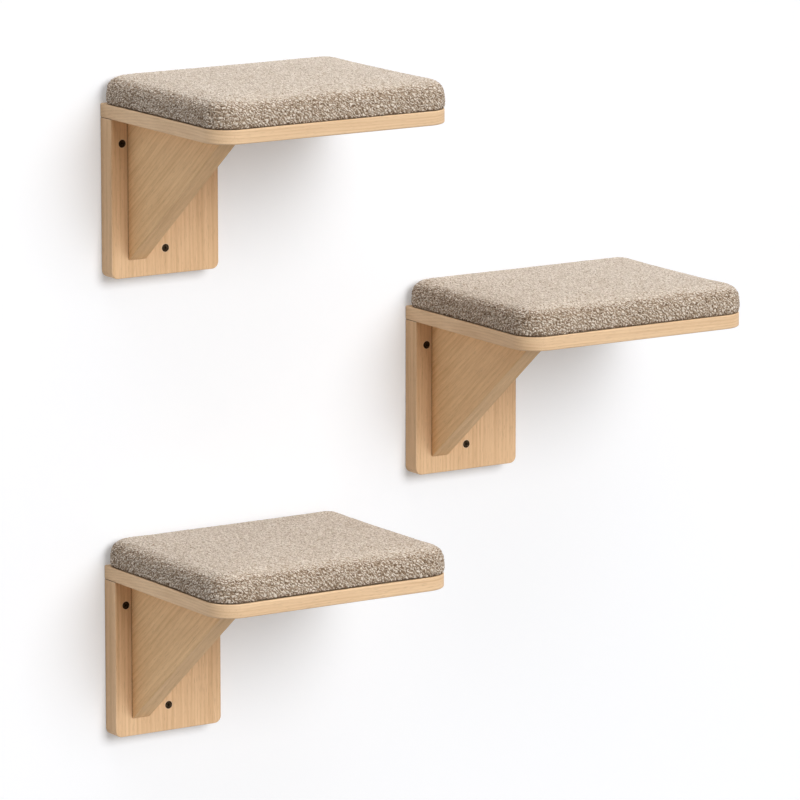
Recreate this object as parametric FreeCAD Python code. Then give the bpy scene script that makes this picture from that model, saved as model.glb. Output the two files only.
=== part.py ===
# Cat climbing wall: three padded wooden wall steps, each a bracket shelf with a lift-off cushion.
# Millimetres. X runs right along the wall, Y runs into the wall, whose face is y = 0, and Z is up.
# The origin is the middle of the lowest step's back plate, on the face that lies on the wall.
import FreeCAD, Part
import math
import os

# Where the steps hang, from the lowest one: the upper step is above it, the side step to the right
upper_step_rise = 584.0
side_step_reach = 448.0
side_step_rise = 286.0

# Shelf board
board_width = 340.0
board_depth = 280.0
board_thickness = 18.0
board_corner_radius = 34.0
board_edge_round = 2.0

# Back plate, flush with the board's left end and standing under it
plate_width = 154.0
plate_height = 200.0
plate_thickness = 25.0
plate_corner_radius = 9.0
plate_edge_round = 1.2

# Gusset, a right triangle between plate and board
gusset_thickness = 25.0
gusset_inset = 24.0
gusset_reach = 222.0
gusset_drop = 177.0
gusset_tip = 1.5
gusset_edge_round = 1.0

# Wall screws: two below the board and one low in the middle, heads set a little into the plate
wall_screw_radius = 2.5
wall_screw_length = 60.0
wall_screw_head_radius = 4.8
wall_screw_side_margin = 16.0
wall_screw_top_margin = 31.0
wall_screw_bottom_margin = 33.0
wall_screw_sink = 0.4

# Construction screws that hold the wooden pieces together
joint_screw_radius = 2.5
joint_screw_length = 50.0
joint_screw_head_radius = 4.6
joint_screw_sink = 0.6
plate_screw_spacing = 50.0
gusset_top_screw_first = 55.0
gusset_top_screw_spacing = 85.0
gusset_back_screw_first = 50.0
gusset_back_screw_spacing = 72.0

# Shapes that all screws share
screw_rim = 0.5
screw_cone_angle = 45.0
screw_point_length = 6.0
screw_point_radius = 0.4
recess_width = 1.1
recess_length = 4.6
recess_depth = 2.4
screw_hole_gap = 0.3
screw_bite_gap = 0.05
screw_hole_end_gap = 1.0

# Wall plugs, pushed below the wall's face
plug_radius = 4.0
plug_length = 40.0
plug_set_back = 3.0
plug_nose_length = 6.0
plug_nose_radius = 3.0
plug_collar_length = 11.0
plug_slit_width = 1.0
plug_slit_turn = 45.0
plug_end_wall = 3.0

# Dowels between board and plate
dowel_radius = 4.0
dowel_length = 28.0
dowel_board_depth = 12.0
dowel_side_margin = 22.0
dowel_chamfer = 1.0
dowel_hole_gap = 0.05
dowel_end_gap = 0.5

# Cushion
cushion_inset = 1.0
cushion_height = 38.0
cushion_crown = 5.0
cushion_rear_radius = 20.0
cushion_edge_round = 17.0
cushion_edge_rise = 17.0
cushion_base_round = 4.0
cushion_base_rise = 7.0
cushion_draw_in = 1.2
cushion_crown_rings = 3
cushion_rim_steps = 6
cover_thickness = 2.5
cover_foam_gap = 0.3
# How far in the crown goes on rising, as a share of the way to the middle
cushion_crown_share = 0.9
# How much of the corner radius is gone where the side has turned into the top
cushion_corner_share = 0.5

# Hook and loop strips between board and cushion
strip_length = 60.0
strip_width = 22.0
strip_thickness = 1.2
strip_side_inset = 48.0
strip_end_inset = 55.0

# One overrun serves every cut
overrun = 1.0

# Points and directions closer than this count as the same
same_point = 1e-4

X_AXIS = FreeCAD.Vector(1, 0, 0)
Y_AXIS = FreeCAD.Vector(0, 1, 0)
Z_AXIS = FreeCAD.Vector(0, 0, 1)


def vec(x, y, z):
    return FreeCAD.Vector(x, y, z)


def box(low, high):
    size = high - low
    return Part.makeBox(size.x, size.y, size.z, low)


def near(value, target):
    return abs(value - target) < same_point


def lies_along(edge, direction):
    """True for a straight edge that runs along the direction."""
    if not isinstance(edge.Curve, Part.Line):
        return False
    return near(abs(edge.Curve.Direction.dot(direction)), 1)


def all_points(edge, test):
    middle = edge.valueAt((edge.FirstParameter + edge.LastParameter) / 2)
    return all(test(p) for p in [v.Point for v in edge.Vertexes] + [middle])


def group(solids):
    """Several separate solids that share one node."""
    return Part.makeCompound(solids)


def shelf_board():
    """The board in one step's own frame: left end at x = 0, underside at z = 0, rear edge on the wall."""
    board = box(vec(0, -board_depth, 0), vec(board_width, 0, board_thickness))
    corners = [e for e in board.Edges
               if lies_along(e, Z_AXIS) and all_points(e, lambda p: near(p.y, -board_depth))]
    board = board.makeFillet(board_corner_radius, corners)
    rims = [e for e in board.Edges
            if all_points(e, lambda p: near(p.z, 0)) or all_points(e, lambda p: near(p.z, board_thickness))]
    rims = [e for e in rims if not all_points(e, lambda p: near(p.y, 0))]
    board = board.makeFillet(board_edge_round, rims)
    for place in board_screw_places():
        board = board.cut(screw_hole(place, 0, board_thickness, joint_screw_sizes()))
    for place in dowel_places():
        board = board.cut(dowel_hole(place))
    return board


def back_plate():
    plate = box(vec(0, -plate_thickness, -plate_height), vec(plate_width, 0, 0))
    corners = [e for e in plate.Edges
               if lies_along(e, Y_AXIS) and all_points(e, lambda p: near(p.z, -plate_height))]
    plate = plate.makeFillet(plate_corner_radius, corners)
    front = [e for e in plate.Edges
             if all_points(e, lambda p: near(p.y, -plate_thickness)) and not all_points(e, lambda p: near(p.z, 0))]
    plate = plate.makeFillet(plate_edge_round, front)
    for place in wall_screw_places():
        plate = plate.cut(screw_hole(place, 90, plate_thickness, wall_screw_sizes()))
    for place in gusset_back_screw_places():
        plate = plate.cut(screw_hole(place, -90, plate_thickness, joint_screw_sizes()))
    for place in plate_top_screw_places():
        plate = plate.cut(screw_hole(place, 0, board_thickness, joint_screw_sizes()))
    for place in dowel_places():
        plate = plate.cut(dowel_hole(place))
    return plate


def gusset():
    rear = -plate_thickness
    tip = rear - gusset_reach
    corners = [(rear, 0), (tip, 0), (tip, -gusset_tip), (rear - gusset_tip, -gusset_drop), (rear, -gusset_drop)]
    points = [vec(gusset_inset, y, z) for y, z in corners]
    face = Part.Face(Part.makePolygon(points + points[:1]))
    solid = face.extrude(X_AXIS * gusset_thickness)

    def on_slope(p):
        along = vec(0, gusset_tip - gusset_reach, gusset_drop - gusset_tip)
        normal = along.cross(X_AXIS).normalize()
        return near((p - vec(p.x, tip, -gusset_tip)).dot(normal), 0)

    long_edges = [e for e in solid.Edges if all_points(e, on_slope) and not lies_along(e, X_AXIS)]
    solid = solid.makeFillet(gusset_edge_round, long_edges)
    for place in gusset_back_screw_places():
        solid = solid.cut(screw_hole(place, -90, plate_thickness, joint_screw_sizes()))
    for place in gusset_top_screw_places():
        solid = solid.cut(screw_hole(place, 0, board_thickness, joint_screw_sizes()))
    return solid


def wall_screw_sizes():
    return wall_screw_radius, wall_screw_length, wall_screw_head_radius, wall_screw_sink


def joint_screw_sizes():
    return joint_screw_radius, joint_screw_length, joint_screw_head_radius, joint_screw_sink


def wall_screw_places():
    """Where the wall screws' axes meet the front of the plate."""
    left = wall_screw_side_margin
    right = plate_width - wall_screw_side_margin
    high = -wall_screw_top_margin
    low = wall_screw_bottom_margin - plate_height
    return [vec(x, -plate_thickness, z) for x, z in ((left, high), (right, high), (plate_width / 2, low))]


def gusset_middle():
    return gusset_inset + gusset_thickness / 2


def gusset_back_screw_places():
    """Where the screws through the plate into the gusset meet the back of the plate."""
    first = -gusset_back_screw_first
    return [vec(gusset_middle(), 0, z) for z in (first, first - gusset_back_screw_spacing)]


def gusset_top_screw_places():
    """Where the screws through the board into the gusset meet the top of the board."""
    first = -plate_thickness - gusset_top_screw_first
    return [vec(gusset_middle(), y, board_thickness) for y in (first, first - gusset_top_screw_spacing)]


def plate_top_screw_places():
    """Where the screws through the board into the plate meet the top of the board."""
    middle = plate_width / 2
    sides = (middle - plate_screw_spacing / 2, middle + plate_screw_spacing / 2)
    return [vec(x, -plate_thickness / 2, board_thickness) for x in sides]


def board_screw_places():
    return plate_top_screw_places() + gusset_top_screw_places()


def screw_outline(radius, length, head_radius, top, end_gap, gap):
    """Half the section of a countersunk screw, or of its hole when the gaps are not zero."""
    cone = (head_radius - radius) * math.tan(math.radians(screw_cone_angle))
    shank = radius + gap
    head = head_radius + gap
    shoulder = -screw_rim - cone
    end = -length - end_gap
    points = [(0, top), (head, top), (head, -screw_rim), (shank, shoulder)]
    points += [(shank, end + screw_point_length), (screw_point_radius + gap, end), (0, end)]
    return points


def turned(points):
    """A solid of revolution about Z from points of (radius, height)."""
    section = [vec(r, 0, z) for r, z in points]
    face = Part.Face(Part.makePolygon(section + section[:1]))
    return face.revolve(vec(0, 0, 0), Z_AXIS, 360)


def placed(solid, place, tilt):
    """Turns a piece that points down -Z about X by the tilt, and moves it to the place."""
    solid.rotate(vec(0, 0, 0), X_AXIS, tilt)
    solid.translate(place)
    return solid


def screw(place, tilt, sizes):
    """A countersunk screw with a cross recess, its head sunk below the surface at the place."""
    radius, length, head_radius, sink = sizes
    body = turned(screw_outline(radius, length, head_radius, 0, 0, 0))
    half_length = recess_length / 2
    half_width = recess_width / 2
    arms = (half_length, half_width), (half_width, half_length)
    for x, y in arms:
        body = body.cut(box(vec(-x, -y, -recess_depth), vec(x, y, overrun)))
    body.translate(Z_AXIS * -sink)
    return placed(body, place, tilt)


def screw_hole(place, tilt, clear_depth, sizes):
    """The screw's hole: loose as far as the clear depth, and a close fit where the thread bites."""
    radius, length, head_radius, sink = sizes
    bite = turned(screw_outline(radius, length, head_radius, sink + overrun, screw_hole_end_gap, screw_bite_gap))
    cone = (head_radius - radius) * math.tan(math.radians(screw_cone_angle))
    loose_head = head_radius + screw_hole_gap
    loose_shank = radius + screw_hole_gap
    top = sink + overrun
    loose_points = [(0, top), (loose_head, top), (loose_head, -screw_rim), (loose_shank, -screw_rim - cone)]
    loose_points += [(loose_shank, sink - clear_depth), (0, sink - clear_depth)]
    hole = bite.fuse(turned(loose_points))
    hole.translate(Z_AXIS * -sink)
    return placed(hole, place, tilt)


def wall_plug(place):
    """A nylon plug round a wall screw, slit so that it spreads, with its mouth towards the screw."""
    bore = wall_screw_radius + screw_bite_gap
    straight = plug_length - plug_nose_length
    points = [(bore, 0), (plug_radius, 0), (plug_radius, -straight), (plug_nose_radius, -plug_length)]
    points += [(0, -plug_length), (0, plug_end_wall - plug_length), (bore, plug_end_wall - plug_length)]
    plug = turned(points)
    half = plug_slit_width / 2
    for x, y in ((plug_radius + overrun, half), (half, plug_radius + overrun)):
        slit = box(vec(-x, -y, -straight), vec(x, y, -plug_collar_length))
        slit.rotate(vec(0, 0, 0), Z_AXIS, plug_slit_turn)
        plug = plug.cut(slit)
    return placed(plug, vec(place.x, plug_set_back, place.z), 90)


def dowel_places():
    """Where the dowels' axes cross the joint between board and plate."""
    sides = (dowel_side_margin, plate_width - dowel_side_margin)
    return [vec(x, -plate_thickness / 2, 0) for x in sides]


def dowel(place):
    inner = dowel_radius - dowel_chamfer
    points = [(0, 0), (inner, 0), (dowel_radius, -dowel_chamfer), (dowel_radius, dowel_chamfer - dowel_length)]
    points += [(inner, -dowel_length), (0, -dowel_length)]
    return placed(turned(points), place + Z_AXIS * dowel_board_depth, 0)


def dowel_hole(place):
    length = dowel_length + 2 * dowel_end_gap
    top = dowel_board_depth + dowel_end_gap
    return Part.makeCylinder(dowel_radius + dowel_hole_gap, length, place + Z_AXIS * (top - length))


def cushion_ring(inset, rear_radius, front_radius, draw_in, height):
    """One closed outline of the cushion: four shallow arcs that draw in, joined by four corner arcs."""
    left = cushion_inset + inset
    right = board_width - left
    rear = -left
    front = left - board_depth
    centres = ((right - rear_radius, rear - rear_radius, rear_radius, 0),
               (left + rear_radius, rear - rear_radius, rear_radius, 90),
               (left + front_radius, front + front_radius, front_radius, 180),
               (right - front_radius, front + front_radius, front_radius, 270))
    corners = []
    for x, y, radius, start in centres:
        turns = [math.radians(start + part) for part in (0, 45, 90)]
        corners.append([vec(x + radius * math.cos(t), y + radius * math.sin(t), height) for t in turns])
    inward = (Y_AXIS * -draw_in, X_AXIS * draw_in, Y_AXIS * draw_in, X_AXIS * -draw_in)
    edges = []
    for i, corner in enumerate(corners):
        start = corner[2]
        end = corners[(i + 1) % len(corners)][0]
        edges.append(Part.Arc(*corner).toShape())
        edges.append(Part.Arc(start, (start + end) / 2 + inward[i], end).toShape())
    return Part.Wire(edges)


def cushion_solid(wall):
    """The cushion's outer form, or the same form drawn in by a wall on every side."""
    base = board_thickness + 2 * strip_thickness + wall
    side_height = cushion_height - cushion_crown - 2 * wall
    rear_radius = cushion_rear_radius - wall
    front_radius = board_corner_radius - cushion_inset - wall
    turns = [math.radians(90 * step / cushion_rim_steps) for step in range(cushion_rim_steps + 1)]
    rims = [(cushion_base_round * (1 - math.cos(t)), cushion_base_rise * (1 - math.sin(t))) for t in turns[::-1]]
    top_of_side = side_height - cushion_edge_rise
    rims += [(cushion_edge_round * (1 - math.cos(t)), top_of_side + cushion_edge_rise * math.sin(t)) for t in turns]
    sides = []
    for inset, rise in rims:
        keep = 1 - cushion_corner_share * inset / cushion_edge_round
        radii = rear_radius * keep, front_radius * keep
        sides.append(cushion_ring(inset + wall, *radii, cushion_draw_in, base + rise))
    reach = (board_depth / 2 - cushion_inset - cushion_edge_round - wall) * cushion_crown_share
    crown = [sides[-1]]
    for step in range(1, cushion_crown_rings + 1):
        out = step / cushion_crown_rings
        inset = cushion_edge_round + reach * out + wall
        round_corner = (board_depth / 2 - cushion_inset - inset) * out * cushion_crown_share
        radii = [r * keep * (1 - out) + round_corner for r in (rear_radius, front_radius)]
        height = base + side_height + cushion_crown * math.sin(math.radians(90 * out))
        crown.append(cushion_ring(inset, *radii, cushion_draw_in * (1 - out * cushion_crown_share), height))
    lofts = [Part.makeLoft(rings, True, False) for rings in (sides, crown)]
    return lofts[0].fuse(lofts[1]).Solids[0]


def cushion_cover():
    return cushion_solid(0).cut(cushion_solid(cover_thickness))


def cushion_foam():
    return cushion_solid(cover_thickness + cover_foam_gap)


def strips(height):
    """Four strips, near the corners of the cushion, at one height."""
    left = cushion_inset + strip_side_inset
    right = board_width - cushion_inset - strip_side_inset - strip_length
    rear = -cushion_inset - strip_end_inset - strip_width
    front = cushion_inset + strip_end_inset - board_depth
    solids = []
    for x in (left, right):
        for y in (rear, front):
            solids.append(box(vec(x, y, height), vec(x + strip_length, y + strip_width, height + strip_thickness)))
    return group(solids)


def step_pieces():
    """Every piece of one step, by name."""
    wall_screws = [screw(p, 90, wall_screw_sizes()) for p in wall_screw_places()]
    board_screws = [screw(p, 0, joint_screw_sizes()) for p in board_screw_places()]
    gusset_screws = [screw(p, -90, joint_screw_sizes()) for p in gusset_back_screw_places()]
    return {
        "shelf_board": shelf_board(),
        "back_plate": back_plate(),
        "gusset": gusset(),
        "wall_screws": group(wall_screws),
        "wall_plugs": group([wall_plug(p) for p in wall_screw_places()]),
        "board_screws": group(board_screws),
        "gusset_screws": group(gusset_screws),
        "plate_dowels": group([dowel(p) for p in dowel_places()]),
        "hook_strips": strips(board_thickness),
        "loop_strips": strips(board_thickness + strip_thickness),
        "cushion_cover": cushion_cover(),
        "cushion_foam": cushion_foam(),
    }


def main():
    os.makedirs("parts", exist_ok=True)
    lowest = vec(-plate_width / 2, 0, plate_height / 2)
    places = (lowest + Z_AXIS * upper_step_rise, lowest + vec(side_step_reach, 0, side_step_rise), lowest)
    pieces = step_pieces()
    for number, place in enumerate(places, start=1):
        for name, piece in pieces.items():
            copy = piece.copy()
            copy.translate(place)
            copy.exportStep(f"parts/{name}_{number}.step")
            print(name, number, "solids", len(copy.Solids), "valid", copy.isValid(), "volume", round(copy.Volume))


main()
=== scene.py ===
"""Looks of the cat climbing wall: three wooden wall steps with boucle cushions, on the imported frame."""

import math

import bmesh
import bpy
import numpy as np
from mathutils import Matrix, Vector, kdtree


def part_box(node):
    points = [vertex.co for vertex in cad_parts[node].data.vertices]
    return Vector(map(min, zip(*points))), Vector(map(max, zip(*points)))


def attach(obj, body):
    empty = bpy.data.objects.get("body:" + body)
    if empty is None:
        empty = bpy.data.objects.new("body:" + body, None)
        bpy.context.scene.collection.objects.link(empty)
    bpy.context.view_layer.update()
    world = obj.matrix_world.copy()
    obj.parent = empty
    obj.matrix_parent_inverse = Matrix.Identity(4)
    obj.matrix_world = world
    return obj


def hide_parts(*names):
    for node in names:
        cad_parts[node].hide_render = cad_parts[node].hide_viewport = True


STEPS = (1, 2, 3)
X, Z = Vector((1, 0, 0)), Vector((0, 0, 1))
WHITE = (1, 1, 1, 1)

# Camera: where it stands, how it turns, its lens on its sensor in millimetres, and what it can see in metres
CAMERA_PLACE = (-4.0612, -6.8777, 1.8903)
CAMERA_YAW = 32.749
CAMERA_PITCH = 11.129
CAMERA_LENS = 292.5
CAMERA_SENSOR = 36.0
CAMERA_REACH = (0.1, 60.0)

# Light: the sky's strength, and each sun's way round from the front to the right, height, width and strength
AMBIENT = 0.28
SKY = (1.0, 0.965, 0.93, 1)
SUNS = {"key": (9, 24, 34, 2.22), "overhead": (10, 85, 60, 1.20)}
SUN_DISTANCE = 3

# Wall: half its side, its place behind the plates, its paint, and the ray length at which a piece touches it
WALL_HALF = 6.0
WALL_BACK = 0.0006
WALL_PAINT = (0.80, 0.814, 0.842, 1)
WALL_GLOW = 0.215
WALL_TOUCH = 0.004

# Wood: how far in from an edge its painted highlight reaches (a dark line on the gusset), how far out from a
# corner its painted shade reaches, how strong each is, how far apart the same kind of piece lies in the log
# from step to step, and how much the gusset's sloping face is made darker
EDGE_BAND = 0.0020
EDGE_TINT_SHARE = 0.50
CORNER_SHADE_REACH = 0.0030
CORNER_SHADE_SHARE = 0.75
CORNER_SHADE_TINT = (0.50, 0.42, 0.32)
LOG_STEP = Vector((0.11, 0.007, 0.004))
DARKER_FACE_TINT = (0.90, 0.895, 0.90, 1)

# Cushion form before it swells: drawn in from the top, let out at the sides, and the size of its mesh
DRAW_IN = 0.0012
GROW = 0.0014
VOXEL = 0.0036
FLAT_HEIGHT = 0.0012
FLAT_INSET = 0.03

# Swelling: what is held still, and how far a point may move
PRESSURE = 4.0
CLOTH_QUALITY = 6
SWELL_FRAMES = 20
SWELL_LIMIT = 0.0020
SWELL_ROUNDS = 40
HELD_HEIGHT = 0.0015
HEM_REACH = 0.026
HEM_DROP = 0.0021
HEM_HEIGHT = 0.012

# Pile: the loops' places, form and lie, how deep they are, how they stand on top, where the painted shade of
# their hollows is lighter, and the height and depth of the painted shadow along the seam
LOOP_SPACING = 0.0030
LOOP_CLOSEST = 0.66
LOOP_BARE = 0.72
LOOP_LONG = 0.0030
LOOP_WIDE = 0.0015
LOOP_TALL = (0.72, 1.0)
LOOP_BEND = 110
LIE_WAVES = 12
LIE_LENGTHS = (0.008, 0.016)
LIE_STRAY = 0.35
PILE_DEPTH = 0.0023
PILE_LEVEL = 0.42
TOP_STAND_AND_SHADE = 0.65
SEAM_SHADE_HEIGHT = 0.0035
SEAM_SHADE = 0.7

# Yarn on the loops: how close its strands wind, how long a curl is, the tone that its colour tends to where
# the painted shade of the hollows is weak, and its colours from the painted shade of the hollows to the tops
# of the curls
CURL_BANDS = 115.0
CURL_LENGTH = 0.0052
YARN_SHADE = 1.645
YARN_COLOURS_AND_SHADE = ((0.10, (0.13, 0.078, 0.043)), (0.36, (0.27, 0.19, 0.125)), (0.58, (0.45, 0.35, 0.256)),
                (0.76, (0.65, 0.55, 0.452)), (0.88, (0.76, 0.67, 0.575)), (1.00, (0.82, 0.735, 0.64)))
YARN_PATCH = (0.50, 0.39, 0.29, 1)

# Space between the parts of the cushion's flat map
MAP_GAP = 0.004


class Nodes:
    """The node tree of a material or world, with one call per node."""

    def __init__(self, owner):
        self.owner = owner
        owner.use_nodes = True
        self.tree = owner.node_tree
        self.tree.nodes.clear()

    def add(self, kind, inputs=None, **settings):
        node = self.tree.nodes.new("ShaderNode" + kind)
        for key, value in settings.items():
            setattr(node, key, value)
        for key, value in (inputs or {}).items():
            self.put(node.inputs[key], value)
        return node

    def put(self, socket, value):
        if isinstance(value, bpy.types.NodeSocket):
            self.tree.links.new(value, socket)
        else:
            socket.default_value = value

    def math(self, operation, *values, clamp=False):
        return self.add("Math", dict(enumerate(values)), operation=operation, use_clamp=clamp).outputs[0]

    def mix(self, factor, a, b, blend="MIX"):
        return self.add("Mix", {0: factor, 6: a, 7: b}, data_type="RGBA", blend_type=blend).outputs[2]

    def dot(self, a, b):
        return self.add("VectorMath", {0: a, 1: b}, operation="DOT_PRODUCT").outputs["Value"]

    def ramp(self, factor, *stops):
        node = self.add("ValToRGB", {"Fac": factor})
        elements = node.color_ramp.elements
        while len(elements) < len(stops):
            elements.new(1.0)
        for element, (place, colour) in zip(elements, stops):
            element.position = place
            element.color = (*colour, 1) if len(colour) == 3 else (colour[0],) * 3 + (1,)
        return node.outputs[0]

    def noise(self, vector, scale, detail=3.0, roughness=0.5):
        inputs = {"Vector": vector, "Scale": scale, "Detail": detail, "Roughness": roughness}
        return self.add("TexNoise", inputs).outputs[0]

    def stretched(self, vector, scale, detail, roughness=0.5):
        """Noise that is as fine along each axis as scale says."""
        moved = self.add("Mapping", {"Vector": vector, "Scale": scale}).outputs[0]
        return self.noise(moved, 1.0, detail, roughness)

    def total(self, start, *layers):
        """The sum of the layers, each times its share."""
        for layer, share in layers:
            start = self.math("ADD", start, self.math("MULTIPLY", layer, share))
        return start

    def place(self):
        return self.add("TexCoord").outputs["Object"]

    def bump(self, height, distance, strength):
        return self.add("Bump", {"Height": height, "Distance": distance, "Strength": strength}).outputs[0]

    def shows_background(self):
        """1 for the rays that see a backdrop as it is: from the camera, and off or through glossy things."""
        rays = self.add("LightPath").outputs
        seen = self.math("MAXIMUM", rays["Is Camera Ray"], rays["Is Glossy Ray"])
        return self.math("MAXIMUM", seen, rays["Is Transmission Ray"])

    def finish(self, **inputs):
        named = {key.replace("_", " "): value for key, value in inputs.items()}
        shader = self.add("BsdfPrincipled", named)
        self.add("OutputMaterial", {"Surface": shader.outputs[0]})
        return self.owner


def new_material(name):
    return Nodes(bpy.data.materials.new(name))


def edged(n, colour, edge_tint, deep):
    """Edges painted lighter as a painted highlight (darker, as a line, on the gusset), and painted shade in the
    corners where two pieces meet.
    """
    # Painted highlight: the edge colour is mixed in where the bevelled normal turns from the face; on the gusset
    # it is a dark line
    bevel = n.add("Bevel", {"Radius": EDGE_BAND}, samples=6).outputs[0]
    turned = n.dot(bevel, n.add("NewGeometry").outputs["Normal"])
    edge_mask = n.math("MULTIPLY", n.math("SUBTRACT", 1.0, turned), 5.0, clamp=True)
    colour = n.mix(n.math("MULTIPLY", edge_mask, EDGE_TINT_SHARE), colour, (*edge_tint, 1))
    # Painted shade: darker where ambient occlusion finds another surface within a few millimetres
    corner_shade = n.add("AmbientOcclusion", {"Distance": CORNER_SHADE_REACH}, samples=8).outputs["AO"]
    corner_shade = n.ramp(corner_shade, (0.42, (1.0,)), (0.80, (0.0,)))
    dark = (*(tint * part for tint, part in zip(CORNER_SHADE_TINT, deep)), 1)
    return n.mix(n.math("MULTIPLY", corner_shade, CORNER_SHADE_SHARE), colour, dark)


def year_rings(n, moved, middle, ring, lay):
    """Rings of growth round the log's middle, bent by slow waves along the grain and roughened by finer ones."""
    wander = n.stretched(moved, (2.2, 11.0 * lay, 11.0), 2.0)
    rough = n.stretched(moved, (9.0, 240.0 * lay, 240.0), 3.0)
    split = n.add("SeparateXYZ", {"Vector": moved})
    across = n.math("SUBTRACT", split.outputs[1], middle.y)
    deep = n.math("SUBTRACT", split.outputs[2], middle.z)
    radius = n.math("SQRT", n.math("ADD", n.math("MULTIPLY", across, across), n.math("MULTIPLY", deep, deep)))
    year = n.total(n.math("DIVIDE", radius, ring), (wander, 5.0), (rough, 0.8))
    stops = (0.0, (0.8,)), (0.25, (1.0,)), (0.70, (0.55,)), (0.88, (0.0,)), (1.0, (0.8,))
    return n.ramp(n.math("FRACT", year), *stops)


def wood(name, centre, along, pith, ring, figure, pale, dark, edge_tint, lay=1, short=1, darker_face=None):
    """Light wood sawn from a log. along is the way the grain runs, pith is where the log's middle lies from
    the centre of the piece, ring is the width of one year's growth, figure is how strongly the years show,
    pale and dark are its colours, edge_tint is the colour painted along its edges as a highlight (on the
    gusset as a dark line), lay is how fine the grain is across the piece, short is how short its streaks are,
    and darker_face is the way out of a face that is made a little darker."""
    n = new_material(name)
    turn = along.normalized().rotation_difference(X).to_matrix()
    inputs = {"Vector": n.place(), "Rotation": turn.to_euler(), "Location": -(turn @ centre)}
    moved = n.add("Mapping", inputs).outputs[0]
    rings = year_rings(n, moved, turn @ pith, ring, lay)
    # Fibres, streaks and short pores lie along the grain
    fibre = n.stretched(moved, (16.0 * short, 560.0 * lay, 560.0), 4.0, 0.6)
    streak = n.stretched(moved, (3.2 * short, 170.0 * lay, 170.0), 4.0, 0.55)
    pores = n.ramp(n.stretched(moved, (95.0, 1300.0, 1300.0), 1.0), (0.30, (1.0,)), (0.41, (0.0,)))
    broad = n.stretched(moved, (5.0, 12.0, 12.0), 2.0)
    shade = n.math("MULTIPLY", n.math("SUBTRACT", rings, 0.7), figure)
    shade = n.total(shade, (streak, 0.66), (fibre, 0.34), (broad, 0.40))
    colour = n.ramp(shade, (0.38, dark), (0.90, pale))
    deeper = tuple(0.62 * part for part in dark)
    colour = n.mix(n.math("MULTIPLY", pores, 0.28), colour, (*deeper, 1))
    # The gusset's sloping face is made a little darker
    if darker_face is not None:
        on_face = n.math("GREATER_THAN", n.dot(n.add("NewGeometry").outputs["Normal"], darker_face), 0.8)
        colour = n.mix(on_face, colour, DARKER_FACE_TINT, "MULTIPLY")
    # Painted highlight on the edges and painted shade in the corners
    colour = edged(n, colour, edge_tint, deeper)
    relief = n.math("SUBTRACT", n.math("MULTIPLY", fibre, 0.6), n.math("MULTIPLY", pores, 0.7))
    return n.finish(Base_Color=colour, Roughness=n.total(0.50, (fibre, 0.16)),
                    Normal=n.bump(relief, 0.00012, 0.5), Specular_IOR_Level=0.30)


def curls(n, place):
    """Winding strands of yarn with thin hollows between them, broken into short curls."""
    bands = {"Vector": place, "Scale": CURL_BANDS, "Distortion": 8.0, "Detail": 1.0, "Detail Scale": 1.7}
    strands = n.add("TexWave", bands, bands_direction="DIAGONAL").outputs[1]
    strands = n.ramp(strands, (0.05, (0.0,)), (0.45, (0.7,)), (1.0, (1.0,)))
    cells = {"Vector": place, "Scale": 1 / CURL_LENGTH, "Randomness": 0.9}
    breaks = n.add("TexVoronoi", cells, feature="DISTANCE_TO_EDGE").outputs["Distance"]
    breaks = n.math("MULTIPLY", breaks, 6.0, clamp=True)
    return n.math("MULTIPLY", strands, n.total(0.25, (breaks, 0.75)))


def boucle(name):
    """Looped woollen pile: pale curls with painted shade in the brown hollows between them, lighter on top
    and deepest along the seam.
    """
    n = new_material(name)
    place = n.place()
    pile, stand_and_shade, tone = (n.add("Attribute", attribute_name=kept).outputs["Fac"]
                         for kept in ("pile", "stand_and_shade", "tone"))
    hair = n.noise(place, 1500.0, 2.0)
    height = n.total(-0.035, (curls(n, place), 0.70), (pile, 0.22), (hair, 0.20), (tone, 0.14))
    # Painted shade: lower points among the loops are darker, more so at the sides and the seam than on top
    hollow_shade = n.math("MULTIPLY", n.total(0.43, (stand_and_shade, 0.57)), n.math("SUBTRACT", YARN_SHADE, height))
    shown = n.math("SUBTRACT", YARN_SHADE, hollow_shade)
    patch = n.ramp(n.noise(place, 30.0), (0.35, (0.0,)), (0.70, (0.10,)))
    colour = n.mix(patch, n.ramp(shown, *YARN_COLOURS_AND_SHADE), YARN_PATCH)
    return n.finish(Base_Color=colour, Roughness=n.total(0.86, (hair, 0.12)),
                    Normal=n.bump(height, 0.0012, 0.6), Specular_IOR_Level=0.15,
                    Sheen_Weight=0.35, Sheen_Roughness=0.5, Sheen_Tint=(1.0, 0.93, 0.88, 1))


def lining(name):
    """The plain woven cloth under the cushion."""
    n = new_material(name)
    place = n.place()
    threads = {"Vector": place, "Scale": 330.0, "Distortion": 0.6}
    warp, weft = (n.add("TexWave", threads, bands_direction=way).outputs[1] for way in "XY")
    weave = n.math("MULTIPLY", n.math("ADD", warp, weft), 0.5)
    tone = n.math("ADD", n.math("MULTIPLY", weave, 0.7), n.math("MULTIPLY", n.noise(place, 420.0), 0.3))
    colour = n.ramp(tone, (0.15, (0.22, 0.18, 0.145)), (0.85, (0.43, 0.37, 0.31)))
    return n.finish(Base_Color=colour, Roughness=0.9, Normal=n.bump(weave, 0.0003, 0.6), Sheen_Weight=0.1)


def tape(name, deep, pale, hair):
    """Hook or loop tape: a woven band with fine hooks or loops."""
    n = new_material(name)
    place = n.place()
    cells = n.add("TexVoronoi", {"Vector": place, "Scale": hair}).outputs["Distance"]
    fleck = n.noise(place, 700.0, 2.0)
    tone = n.math("ADD", n.math("MULTIPLY", cells, 0.8), n.math("MULTIPLY", fleck, 0.4))
    colour = n.ramp(tone, (0.2, pale), (0.8, deep))
    return n.finish(Base_Color=colour, Roughness=0.72, Normal=n.bump(cells, 0.0004, 0.8))


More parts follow.
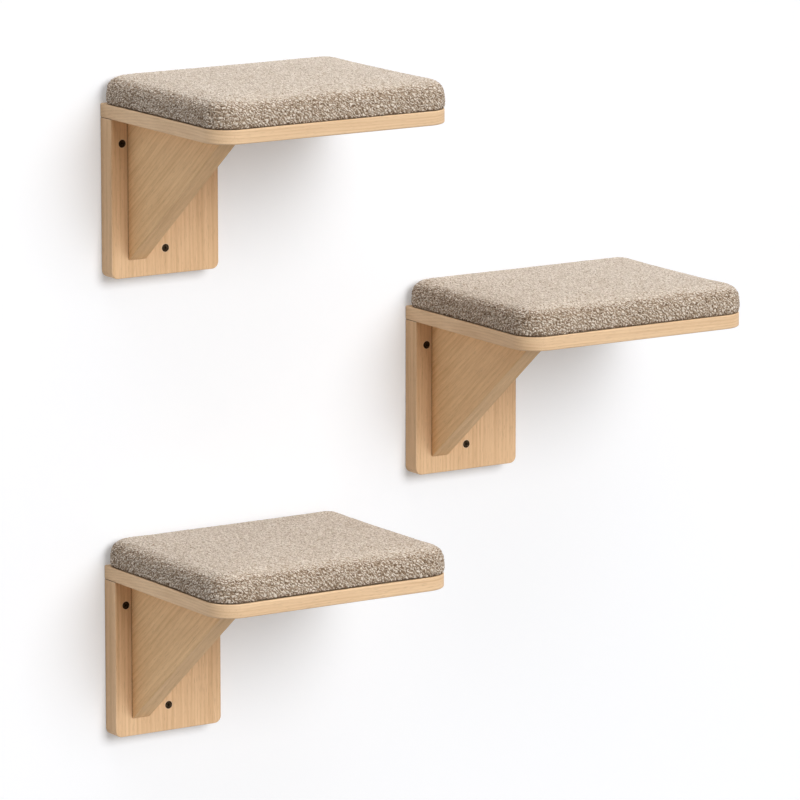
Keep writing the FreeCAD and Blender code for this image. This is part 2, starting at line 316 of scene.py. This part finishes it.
def screw_metal(name, base, wear_and_glint, rough, metallic):
    """Finished steel with fine turning marks and rubbed spots, which on the black heads also stand in for a
    painted glint.
    """
    n = new_material(name)
    place = n.place()
    spots = n.noise(place, 900.0)
    # Rubbed spots; on the black heads their light colour is also a painted glint
    rub_and_glint = n.ramp(n.noise(place, 420.0, 4.0, 0.6), (0.56, (0.0,)), (0.70, (1.0,)))
    colour = n.mix(n.math("MULTIPLY", rub_and_glint, 0.5), base, wear_and_glint)
    return n.finish(Base_Color=colour, Metallic=metallic, Roughness=n.total(rough, (spots, 0.22)),
                    Normal=n.bump(spots, 0.00005, 0.5))


def nylon(name):
    """Grey moulded plastic with faint flow lines."""
    n = new_material(name)
    place = n.place()
    grain = n.noise(place, 1300.0, 2.0)
    flow_lines = n.stretched(place, (160.0, 40.0, 160.0), 2.0)
    colour = n.ramp(flow_lines, (0.3, (0.40, 0.41, 0.42)), (0.7, (0.50, 0.51, 0.52)))
    return n.finish(Base_Color=colour, Roughness=n.total(0.38, (grain, 0.2)),
                    Normal=n.bump(grain, 0.00005, 0.5))


def wall_paint(name):
    """Matt white wall that keeps its shadows, shows as white to the camera, and is clear from behind."""
    n = new_material(name)
    glow = {"Color": WHITE, "Strength": n.math("MULTIPLY", n.shows_background(), WALL_GLOW)}
    front = n.add("AddShader", {0: n.add("BsdfDiffuse", {"Color": WALL_PAINT}).outputs[0],
                                1: n.add("Emission", glow).outputs[0]})
    # What touches the wall sees through it, so that the backs of the pieces aren't black from behind
    near = n.math("LESS_THAN", n.add("LightPath").outputs["Ray Length"], WALL_TOUCH)
    behind = n.math("MAXIMUM", n.add("NewGeometry").outputs["Backfacing"], near)
    both = n.add("MixShader", {0: behind, 1: front.outputs[0], 2: n.add("BsdfTransparent").outputs[0]})
    n.add("OutputMaterial", {"Surface": both.outputs[0]})
    return n.owner


def evaluated(obj):
    """A copy of the object's mesh with its modifiers applied."""
    graph = bpy.context.evaluated_depsgraph_get()
    return bpy.data.meshes.new_from_object(obj.evaluated_get(graph), depsgraph=graph)


def coordinates(mesh):
    places = np.empty(len(mesh.vertices) * 3)
    mesh.vertices.foreach_get("co", places)
    return places.reshape(-1, 3)


def set_coordinates(mesh, places):
    mesh.vertices.foreach_set("co", np.ascontiguousarray(places, dtype=np.float32).ravel())
    mesh.update()


def smooth_normals(mesh):
    normals = np.empty(len(mesh.vertices) * 3)
    mesh.vertex_normals.foreach_get("vector", normals)
    return normals.reshape(-1, 3)


def new_object(name, data):
    obj = bpy.data.objects.new(name, data)
    bpy.context.scene.collection.objects.link(obj)
    return obj


def ease(share):
    """From 0 to 1 without a corner at either end."""
    share = np.clip(share, 0, 1)
    return share * share * (3 - 2 * share)


def connected(verts):
    """The verts in groups that edges join."""
    groups, left = [], set(verts)
    while left:
        group, edge = set(), [next(iter(left))]
        while edge:
            vert = edge.pop()
            if vert not in group:
                group.add(vert)
                edge += [e.other_vert(vert) for e in vert.link_edges]
        groups.append(group)
        left -= group
    return groups


def outer_shell(node, name):
    """The outer skin of a CAD node, drawn in a little at the top and let out at the sides."""
    bm = bmesh.new()
    bm.from_mesh(node.data)
    bmesh.ops.remove_doubles(bm, verts=bm.verts, dist=1e-6)

    def width(group):
        xs = [vert.co.x for vert in group]
        return max(xs) - min(xs)

    outer = max(connected(bm.verts), key=width)
    bmesh.ops.delete(bm, geom=[v for v in bm.verts if v not in outer], context="VERTS")
    mesh = bpy.data.meshes.new(name)
    bm.to_mesh(mesh)
    bm.free()
    places = coordinates(mesh)
    low, high = places.min(0), places.max(0)
    size = high - low
    middle = (low + high) / 2
    places[:, :2] = middle[:2] + (places[:, :2] - middle[:2]) * (size[:2] + 2 * GROW) / size[:2]
    places[:, 2] = low[2] + (places[:, 2] - low[2]) * (size[2] - DRAW_IN) / size[2]
    set_coordinates(mesh, places)
    return new_object(name, mesh)


def use_modifier(obj, kind, **settings):
    """Applies one modifier to the object's mesh."""
    modifier = obj.modifiers.new(kind.title(), kind)
    for key, value in settings.items():
        setattr(modifier, key, value)
    old = obj.data
    obj.data = evaluated(obj)
    obj.modifiers.clear()
    bpy.data.meshes.remove(old)


def evened(mesh, values, rounds):
    """Values at the mesh's points, each shared out with its neighbours so that small wrinkles go."""
    ends = np.empty(len(mesh.edges) * 2, np.int32)
    mesh.edges.foreach_get("vertices", ends)
    one, other = ends.reshape(-1, 2).T
    count = np.bincount(ends, minlength=len(values))[:, None]
    for _ in range(rounds):
        sums = np.zeros_like(values)
        np.add.at(sums, one, values[other])
        np.add.at(sums, other, values[one])
        values = (values + sums / count) / 2
    return values


def swell(obj):
    """Fills the cushion as a cloth simulation, with its bottom held flat, and caps how far a point moves."""
    before = coordinates(obj.data)
    bottom = before[:, 2].min()
    held = obj.vertex_groups.new(name="held")
    held.add(np.flatnonzero(before[:, 2] < bottom + HELD_HEIGHT).tolist(), 1.0, "REPLACE")
    cloth = obj.modifiers.new("Cloth", "CLOTH")
    cloth.settings.use_pressure = True
    cloth.settings.uniform_pressure_force = PRESSURE
    cloth.settings.effector_weights.gravity = 0
    cloth.settings.vertex_group_mass = "held"
    cloth.settings.quality = CLOTH_QUALITY
    scene = bpy.context.scene
    for frame_number in range(1, SWELL_FRAMES + 1):
        scene.frame_set(frame_number)
    swollen = evaluated(obj)
    after = coordinates(swollen)
    obj.modifiers.clear()
    scene.frame_set(1)
    bpy.data.meshes.remove(swollen)
    move = evened(obj.data, after - before, SWELL_ROUNDS)
    length = np.linalg.norm(move, axis=1, keepdims=True)
    limit = SWELL_LIMIT * np.tanh(length / SWELL_LIMIT)
    # The swelling starts gently above the hem
    limit *= ease((before[:, 2:] - bottom) / HEM_HEIGHT)
    share = np.divide(limit, length, out=np.zeros_like(length), where=length > 0)
    set_coordinates(obj.data, before + move * share)


def open_bottom(obj):
    """Takes out the small flat faces in the middle of the bottom."""
    bm = bmesh.new()
    bm.from_mesh(obj.data)
    xs, ys, zs = zip(*(v.co for v in bm.verts))
    low = min(zs)
    for vert in bm.verts:
        if vert.co.z < low + FLAT_HEIGHT:
            vert.co.z = low
    left, right = min(xs) + FLAT_INSET, max(xs) - FLAT_INSET
    front, back = min(ys) + FLAT_INSET, max(ys) - FLAT_INSET

    def inside(vert):
        return vert.co.z == low and left < vert.co.x < right and front < vert.co.y < back

    middle = [face for face in bm.faces if all(inside(vert) for vert in face.verts)]
    bmesh.ops.delete(bm, geom=middle, context="FACES")
    bm.to_mesh(obj.data)
    bm.free()


def close_bottom(obj):
    """Puts one flat face in the middle of the bottom."""
    bm = bmesh.new()
    bm.from_mesh(obj.data)
    bmesh.ops.holes_fill(bm, edges=[e for e in bm.edges if e.is_boundary])
    bm.to_mesh(obj.data)
    bm.free()


def lower_hem(mesh):
    """Lets the bottom edge of the cover down to the board, outside the strips."""
    places = coordinates(mesh)
    low, high = places.min(0), places.max(0)
    inset = np.minimum(places - low, high - places)[:, :2].min(1)
    near_edge = ease(1.6 - 1.6 * inset / HEM_REACH)
    near_bottom = ease(1 - (places[:, 2] - low[2]) / HEM_HEIGHT)
    places[:, 2] -= HEM_DROP * near_edge * near_bottom
    set_coordinates(mesh, places)


def nearest(points, places, count):
    """For each place, which of the points are nearest."""
    tree = kdtree.KDTree(len(points))
    for k, point in enumerate(points):
        tree.insert(point, k)
    tree.balance()
    return np.array([[found[1] for found in tree.find_n(place, count)] for place in places])


def thinned(places, space, chance):
    """Which places stay when none may stand too close: one in each small cube, and no later one too near."""
    order = chance.permutation(len(places))
    cubes = np.floor(places[order] / space).astype(int)
    order = chance.permutation(order[np.unique(cubes, axis=0, return_index=True)[1]])
    near = nearest(places[order], places[order], 6)
    gaps = np.linalg.norm(places[order][near] - places[order][:, None, :], axis=2)
    crowded = ((gaps < space * LOOP_CLOSEST) & (near < np.arange(len(order))[:, None])).any(1)
    return order[~crowded]


def loop_roots(places, normals, chance):
    """Where the loops of the pile stand, with the bare spots of the first round filled by a second."""
    cloth = np.flatnonzero(normals[:, 2] > -0.75)
    roots = cloth[thinned(places[cloth], LOOP_SPACING, chance)]
    close = places[roots][nearest(places[roots], places[cloth], 1)[:, 0]]
    bare = cloth[np.linalg.norm(close - places[cloth], axis=1) > LOOP_SPACING * LOOP_BARE]
    return np.concatenate([roots, bare[thinned(places[bare], LOOP_SPACING, chance)]])


def flow(places, chance):
    """A direction at each place that changes slowly from place to place."""
    waves = chance.normal(size=(LIE_WAVES, 3))
    lengths = chance.uniform(*LIE_LENGTHS, (LIE_WAVES, 1))
    waves *= 2 * np.pi / (np.linalg.norm(waves, axis=1, keepdims=True) * lengths)
    phases = chance.uniform(0, 2 * np.pi, (LIE_WAVES, 3))
    return sum(np.sin((places @ wave)[:, None] + phase) for wave, phase in zip(waves, phases))


def grow_pile(obj, seed):
    """Raises the loops of the boucle all over the top and sides, and keeps for the material their height and how
    much painted shade their hollows get.
    """
    mesh = obj.data
    places = coordinates(mesh)
    normals = smooth_normals(mesh)
    chance = np.random.default_rng(seed)
    roots = loop_roots(places, normals, chance)
    near = nearest(places[roots], places, 4)
    # Each loop is a short bent bead that lies its own way on the surface
    lie = flow(places[roots], chance) / math.sqrt(LIE_WAVES) + chance.normal(size=(len(roots), 3)) * LIE_STRAY
    lie -= normals[roots] * (lie * normals[roots]).sum(1, keepdims=True)
    lie /= np.linalg.norm(lie, axis=1, keepdims=True)
    cross = np.cross(normals[roots], lie)
    bend = chance.uniform(-1, 1, len(roots)) * LOOP_BEND
    tall = chance.uniform(*LOOP_TALL, len(roots))
    tone = chance.uniform(0, 1, len(roots))
    offset = places[:, None, :] - places[roots][near]
    along = (offset * lie[near]).sum(2)
    aside = (offset * cross[near]).sum(2) + bend[near] * along ** 2
    depth = (offset * normals[roots][near]).sum(2)
    reach = (along / LOOP_LONG) ** 2 + (aside / LOOP_WIDE) ** 2 + (depth / LOOP_LONG) ** 2
    bead = np.clip(1 - reach, 0, 1) ** 0.75 * tall[near]
    top = bead.argmax(1)
    rows = np.arange(len(places))
    height = bead[rows, top]
    under = np.clip((-normals[:, 2] - 0.55) / 0.3, 0, 1)
    # The loops rise less on top than at the sides; the painted shade in their hollows is lighter on top and
    # deepest in a painted shadow along the seam
    stand_and_shade = 1 - (1 - TOP_STAND_AND_SHADE) * ease((normals[:, 2] - 0.60) / 0.38)
    rise = (height - PILE_LEVEL) * PILE_DEPTH * (1 - under) * (0.5 + 0.5 * stand_and_shade)
    stand_and_shade += SEAM_SHADE * ease(1 - (places[:, 2] - places[:, 2].min()) / SEAM_SHADE_HEIGHT)
    set_coordinates(mesh, places + normals * rise[:, None])
    for name, values in (("pile", height), ("stand_and_shade", stand_and_shade), ("tone", tone[near[rows, top]])):
        layer = mesh.attributes.new(name, "FLOAT", "POINT")
        layer.data.foreach_set("value", values.astype(np.float32))
    return under


def lay_out(mesh, normals):
    """A flat map of the cushion for baking: top, bottom and four sides, one above the other."""
    layer = mesh.uv_layers.new(name="OFBake")
    places = coordinates(mesh)
    low = places.min(0)
    _, deep, tall = places.max(0) - low + MAP_GAP
    corners = np.empty(len(mesh.loops), np.int32)
    mesh.loops.foreach_get("vertex_index", corners)
    totals = np.empty(len(mesh.polygons), np.int32)
    mesh.polygons.foreach_get("loop_total", totals)
    faces = np.repeat(np.arange(len(totals)), totals)
    sums = np.zeros((len(totals), 3))
    np.add.at(sums, faces, normals[corners])
    x, y, z = sums.T
    flat = np.abs(z) > 1.2 * np.hypot(x, y)
    sides = np.where(np.abs(x) > np.abs(y), np.where(x > 0, 2, 3), np.where(y > 0, 4, 5))
    which = np.where(flat, np.where(z > 0, 0, 1), sides)[faces]
    starts = np.array([0, deep, *(2 * deep + k * tall for k in range(4))])
    local = places[corners] - low
    u = np.where((which == 2) | (which == 3), local[:, 1], local[:, 0])
    v = np.where(which < 2, local[:, 1], local[:, 2]) + starts[which]
    uv = (np.stack([u, v], axis=1) + MAP_GAP / 2) / (2 * deep + 4 * tall)
    layer.data.foreach_set("uv", uv.astype(np.float32).ravel())


def cushion(number, pile_cloth, base_cloth):
    """One step's cushion, in place of the CAD cover and foam."""
    obj = outer_shell(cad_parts[f"cushion_cover_{number}"], f"cushion_{number}_boucle")
    use_modifier(obj, "REMESH", mode="VOXEL", voxel_size=VOXEL)
    swell(obj)
    open_bottom(obj)
    use_modifier(obj, "SUBSURF", levels=2)
    close_bottom(obj)
    lower_hem(obj.data)
    normals = smooth_normals(obj.data)
    under = grow_pile(obj, number)
    lay_out(obj.data, normals)
    obj.data.materials.clear()
    obj.data.materials.append(pile_cloth)
    obj.data.materials.append(base_cloth)
    for face in obj.data.polygons:
        face.use_smooth = True
        face.material_index = 1 if min(under[v] for v in face.vertices) > 0.999 else 0
    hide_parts(f"cushion_cover_{number}", f"cushion_foam_{number}")
    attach(obj, f"cushion_{number}")


def dress(kind, number, material):
    """Gives a CAD node the material in place of its own."""
    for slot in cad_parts[f"{kind}_{number}"].material_slots:
        slot.material = material


def dress_wood(number):
    """Gives each wooden piece of a step its own stretch of the log."""
    low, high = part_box(f"gusset_{number}")
    slope = Vector((0, high.y - low.y, low.z - high.z)).normalized()
    # The edge colours are painted highlights, and on the gusset a dark edge line
    woods = {
        "shelf_board": dict(along=X, pith=Vector((0, -0.06, -1.10)), ring=0.0036, figure=0.26, lay=0.12,
                            pale=(0.87, 0.620, 0.386), dark=(0.67, 0.439, 0.249), edge_tint=(0.93, 0.78, 0.63)),
        "back_plate": dict(along=Z, pith=Vector((0.33, 0.30, 0)), ring=0.0052, figure=0.17, short=1.3,
                           pale=(0.87, 0.592, 0.352), dark=(0.64, 0.397, 0.208), edge_tint=(0.92, 0.75, 0.60)),
        "gusset": dict(along=slope, pith=slope.cross(X) * 0.45, ring=0.0060, figure=0.18, short=4,
                       pale=(0.955, 0.638, 0.344), dark=(0.715, 0.434, 0.205), edge_tint=(0.52, 0.31, 0.145),
                       darker_face=Vector((0, slope.z, -slope.y))),
        "plate_dowels": dict(along=Z, pith=Vector((0.05, 0.03, 0)), ring=0.0030, figure=0.17,
                             pale=(0.68, 0.48, 0.31), dark=(0.50, 0.33, 0.19), edge_tint=(0.72, 0.54, 0.38)),
    }
    for kind, looks in woods.items():
        low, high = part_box(f"{kind}_{number}")
        centre = (low + high) / 2 + LOG_STEP * number
        dress(kind, number, wood(f"{kind}_{number}_wood", centre, **looks))


def add_camera():
    data = bpy.data.cameras.new("camera")
    data.lens = CAMERA_LENS
    data.sensor_width = CAMERA_SENSOR
    data.clip_start, data.clip_end = CAMERA_REACH
    yaw, pitch = math.radians(CAMERA_YAW), math.radians(CAMERA_PITCH)
    turn = Matrix.Rotation(-yaw, 3, "Z") @ Matrix.Rotation(math.pi / 2 - pitch, 3, "X")
    camera = new_object("camera", data)
    camera.matrix_world = Matrix.Translation(CAMERA_PLACE) @ turn.to_4x4()
    bpy.context.scene.camera = camera


def add_sun(name, turn, height, width, strength):
    """A soft, far lamp. turn is its way round from the front to the right, height is its angle above level."""
    data = bpy.data.lights.new(name, "SUN")
    data.angle = math.radians(width)
    data.energy = strength
    lamp = new_object(name, data)
    turn, height = math.radians(turn), math.radians(height)
    level = math.cos(height)
    towards = Vector((math.sin(turn) * level, -math.cos(turn) * level, math.sin(height)))
    lamp.matrix_world = (Matrix.Translation(towards * SUN_DISTANCE)
                         @ towards.to_track_quat("Z", "Y").to_matrix().to_4x4())


def add_wall():
    """A white wall just behind the back plates."""
    corners = [(-1, -1), (1, -1), (1, 1), (-1, 1)]
    mesh = bpy.data.meshes.new("wall")
    mesh.from_pydata([(x * WALL_HALF, WALL_BACK, z * WALL_HALF) for x, z in corners], [], [(0, 1, 2, 3)])
    mesh.materials.append(wall_paint("wall_paint"))
    new_object("wall", mesh)


def add_world():
    """A faint warm sky that shows as white."""
    n = Nodes(bpy.data.worlds.new("studio"))
    seen = n.shows_background()
    strength = n.add("MapRange", {"Value": seen, "To Min": AMBIENT, "To Max": 1.0}).outputs[0]
    sky = n.add("Background", {"Color": n.mix(seen, SKY, WHITE), "Strength": strength})
    n.add("OutputWorld", {"Surface": sky.outputs[0]})
    bpy.context.scene.world = n.owner


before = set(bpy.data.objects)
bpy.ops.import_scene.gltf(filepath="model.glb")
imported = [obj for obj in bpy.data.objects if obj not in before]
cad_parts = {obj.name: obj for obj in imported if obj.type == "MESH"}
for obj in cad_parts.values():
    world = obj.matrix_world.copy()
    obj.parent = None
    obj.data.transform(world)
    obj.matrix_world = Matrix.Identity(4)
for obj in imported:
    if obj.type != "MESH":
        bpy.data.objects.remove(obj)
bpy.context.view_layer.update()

add_camera()
add_world()
add_wall()
for name, settings in SUNS.items():
    add_sun(name, *settings)

pile_cloth = boucle("boucle")
base_cloth = lining("lining")
zinc = screw_metal("zinc_screw", (0.62, 0.61, 0.58, 1), (0.42, 0.41, 0.39, 1), 0.26, 1.0)
finishes = {
    "wall_screws": screw_metal("black_screw", (0.028, 0.016, 0.007, 1), (0.24, 0.17, 0.10, 1), 0.34, 0.9),
    "board_screws": zinc,
    "gusset_screws": zinc,
    "wall_plugs": nylon("plug_nylon"),
    "hook_strips": tape("hook_tape", (0.03, 0.03, 0.03), (0.12, 0.12, 0.12), 900.0),
    "loop_strips": tape("loop_tape", (0.05, 0.045, 0.04), (0.20, 0.18, 0.16), 1200.0),
}
for step in STEPS:
    dress_wood(step)
    for kind, finish in finishes.items():
        dress(kind, step, finish)
    cushion(step, pile_cloth, base_cloth)

bpy.context.scene.view_settings.view_transform = "Standard"
bpy.context.view_layer.update()
